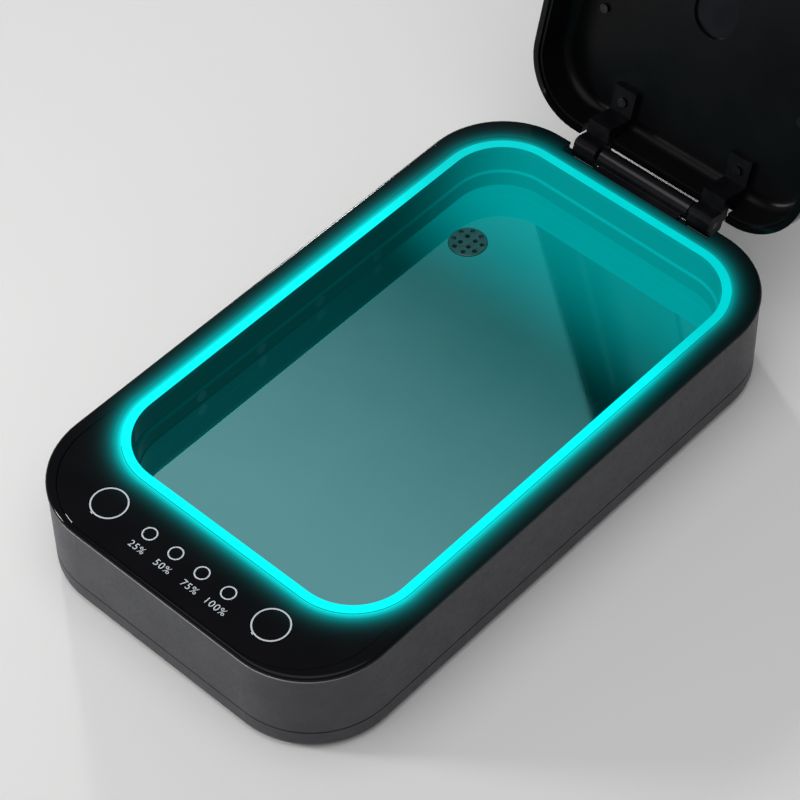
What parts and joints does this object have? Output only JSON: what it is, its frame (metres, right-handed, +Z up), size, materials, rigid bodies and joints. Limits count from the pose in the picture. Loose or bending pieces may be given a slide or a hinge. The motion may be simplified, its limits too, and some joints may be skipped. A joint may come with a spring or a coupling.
{
  "type": "phone sanitizer box",
  "caption": "Flat rounded box with a mirror-floored lit chamber for a phone, a hinged lid, a control strip with round buttons and lamps at one end, and a rear power inlet.",
  "frame": {"origin": "centre of the case's flat underside, between the feet, which stand 1 mm below it", "axes": "+Z up out of the chamber, +Y towards the lid hinge and -Y towards the controls, +X to the right seen from the control end"},
  "size_m": [0.128, 0.2937, 0.2256],
  "materials": {
    "gloss_black": "polished black plastic",
    "control_glass": "polished smoked acrylic",
    "satin_grey": "satin dark grey, as if sprayed",
    "chamber_black": "polished dark plastic",
    "mirror": "polished reflector sheet",
    "light_guide": "translucent light guide, lit cyan",
    "clear_window": "clear ultraviolet window",
    "circuit_board": "solder mask",
    "led_body": "moulded LED package",
    "black_plastic": "moulded",
    "grey_plastic": "moulded",
    "steel": "plated",
    "rubber": "matt",
    "felt": "felt"
  },
  "bodies": {
    "base": {"bottom_shell": "satin_grey", "side_frame": "satin_grey", "top_cover": "gloss_black", "chamber_tray": "chamber_black", "mirror_floor": "mirror", "light_guide_ring": "light_guide", "ring_led_strip": "circuit_board", "ring_leds": "led_body", "control_panel": "control_glass", "aroma_switch": "black_plastic", "uv_switch": "black_plastic", "control_board": "circuit_board", "indicator_baffle": "black_plastic", "indicator_leds": "led_body", "lid_sensor": "black_plastic", "main_board": "circuit_board", "main_board_parts": "black_plastic", "front_ribbon": "grey_plastic", "rear_ribbon": "grey_plastic", "usb_board": "circuit_board", "usb_socket": "steel", "side_led_board_left": "circuit_board", "side_led_board_right": "circuit_board", "uv_leds_left": "led_body", "uv_leds_right": "led_body", "uv_windows_left": "clear_window", "uv_windows_right": "clear_window", "scent_cup": "black_plastic", "scent_pad": "felt", "scent_cap": "gloss_black", "hinge_barrel": "gloss_black", "hinge_pin_left": "steel", "hinge_pin_right": "steel", "barrel_screws": "steel", "rubber_feet": "rubber", "case_screws": "steel", "board_screws": "steel", "tray_screws": "steel"},
    "lid": {"lid_shell": "gloss_black", "lid_liner": "chamber_black", "lid_magnet": "steel", "lid_window": "clear_window", "lid_led_board": "circuit_board", "lid_uv_leds": "led_body", "lid_hinge_arm_left": "gloss_black", "lid_hinge_arm_right": "gloss_black", "lid_bumpers": "rubber", "lid_screws": "steel", "arm_screws": "steel"},
    "aroma_button": {"aroma_button_cap": "gloss_black", "aroma_switch_plunger": "grey_plastic"},
    "uv_button": {"uv_button_cap": "gloss_black", "uv_switch_plunger": "grey_plastic"}
  },
  "joints": [
    {"name": "lid_hinge", "type": "hinge", "parent": "base", "child": "lid", "pos_m": [0, 0.1135, 0.0338], "axis": [-1, 0, 0], "range_deg": [-105, 0]},
    {"name": "aroma_button_press", "type": "slide", "parent": "base", "child": "aroma_button", "axis": [0, 0, -1], "range_m": [0, 0.0005], "stiffness_N_per_m": 1500, "springref_m": -0.0003},
    {"name": "uv_button_press", "type": "slide", "parent": "base", "child": "uv_button", "axis": [0, 0, -1], "range_m": [0, 0.0005], "stiffness_N_per_m": 1500, "springref_m": -0.0003}
  ]
}
